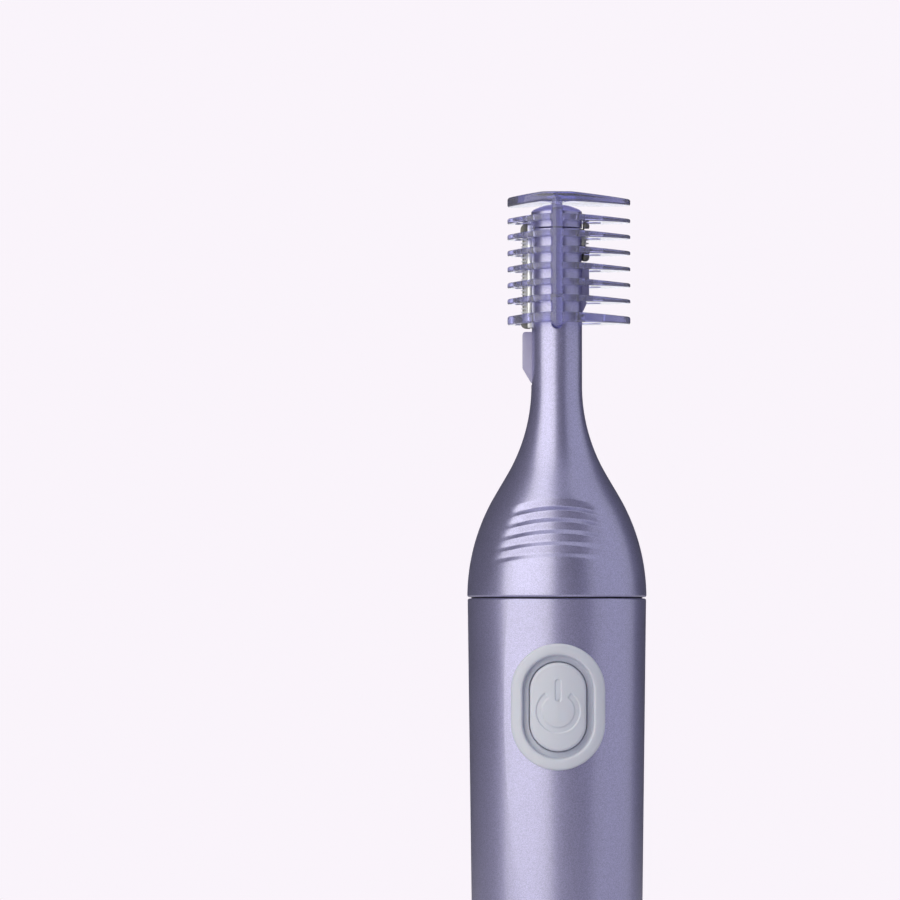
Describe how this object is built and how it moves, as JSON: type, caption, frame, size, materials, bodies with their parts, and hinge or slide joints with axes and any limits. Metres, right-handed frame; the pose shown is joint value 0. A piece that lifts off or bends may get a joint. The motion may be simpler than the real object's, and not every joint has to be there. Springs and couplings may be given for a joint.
{
  "type": "facial hair trimmer",
  "caption": "Slim battery hair trimmer with a bottle-shaped neck, side blades, push button and a slide-on translucent comb guard.",
  "frame": {"origin": "centre of the flat base of the battery cap", "axes": "+Z along the handle towards the head, -Y is the front with the button, the long blade is on -X"},
  "size_m": [0.027, 0.027, 0.149],
  "materials": {
    "lavender_paint": "moulded plastic with metallic lavender paint, satin gloss, fine flake",
    "lavender_plastic": "matte lavender plastic",
    "clear_lavender": "translucent lavender plastic, glossy",
    "soft_grey": "soft-touch blue-grey rubbery plastic",
    "blade_steel": "ground stainless steel",
    "plated_steel": "nickel-plated steel",
    "dark_trim": "dark grey plastic, satin",
    "magnet": "sintered magnet, matt",
    "black_plastic": "black moulded plastic, satin",
    "white_plastic": "white acetal plastic, satin",
    "contact_brass": "stamped brass",
    "copper_winding": "enamelled copper winding",
    "board_green": "green circuit board with solder mask",
    "cell_label": null,
    "red_wire": "wire insulation",
    "black_wire": "wire insulation",
    "black_rubber": "moulded rubber seal"
  },
  "bodies": {
    "handle": {"neck_housing": "lavender_paint", "head_end_cap": "lavender_paint", "body_housing": "lavender_paint", "neck_seal_ring": "black_rubber", "left_guide_fin": "lavender_plastic", "right_guide_fin": "lavender_plastic", "long_blade_holder": "dark_trim", "long_fixed_blade": "blade_steel", "long_blade_spring": "plated_steel", "short_blade_holder": "dark_trim", "short_fixed_blade": "blade_steel", "short_blade_spring": "plated_steel", "rod_guide": "white_plastic", "rocker_pin": "plated_steel", "rocker_bracket": "black_plastic", "left_bracket_screw": "plated_steel", "right_bracket_screw": "plated_steel", "motor_magnet": "magnet", "motor_bearing": "contact_brass", "motor_can": "plated_steel", "motor_end_bell": "white_plastic", "left_motor_terminal": "contact_brass", "right_motor_terminal": "contact_brass", "left_motor_wire": "red_wire", "right_motor_wire": "black_wire", "chassis": "black_plastic", "switch_board": "board_green", "switch_body": "black_plastic", "button_bezel": "soft_grey", "battery_sleeve": "black_plastic", "battery_cell": "cell_label", "positive_contact": "contact_brass", "return_strip": "contact_brass"},
    "comb_guard": {"comb_guard": "clear_lavender"},
    "power_button": {"power_button": "soft_grey", "switch_plunger": "white_plastic"},
    "battery_cap": {"battery_cap": "lavender_paint", "cap_seal_ring": "black_rubber", "cap_contact_plate": "contact_brass", "negative_spring": "plated_steel"},
    "motor_rotor": {"motor_shaft": "plated_steel", "motor_armature": "copper_winding", "eccentric_cam": "white_plastic"},
    "rocker": {"rocker_lever": "white_plastic"},
    "blade_drive": {"drive_rod": "white_plastic", "long_moving_blade": "blade_steel", "short_moving_blade": "blade_steel"}
  },
  "joints": [
    {"name": "comb_slide", "type": "slide", "parent": "handle", "child": "comb_guard", "axis": [0, 0, 1], "range_m": [0, 0.026]},
    {"name": "button_press", "type": "slide", "parent": "handle", "child": "power_button", "axis": [0, 1, 0], "range_m": [0, 0.0008], "stiffness_N_per_m": 1500},
    {"name": "cap_twist", "type": "hinge", "parent": "handle", "child": "battery_cap", "pos_m": [0, 0, 0.008], "axis": [0, 0, 1], "range_deg": [0, 40]},
    {"name": "rotor_spin", "type": "hinge", "parent": "handle", "child": "motor_rotor", "pos_m": [0, 0.0029, 0.08], "axis": [0, 0, 1], "continuous": true},
    {"name": "blade_slide", "type": "slide", "parent": "handle", "child": "blade_drive", "axis": [0, 0, 1], "range_m": [-0.0005, 0.0005]},
    {"name": "rocker_swing", "type": "hinge", "parent": "handle", "child": "rocker", "pos_m": [-0.0055, 0.001, 0.098], "axis": [0, -1, 0], "range_deg": [-5.4, 5.4]}
  ],
  "couplings": [
    {"joint": "rocker_swing", "follows": "blade_slide", "rad_per_m": 181.82}
  ]
}
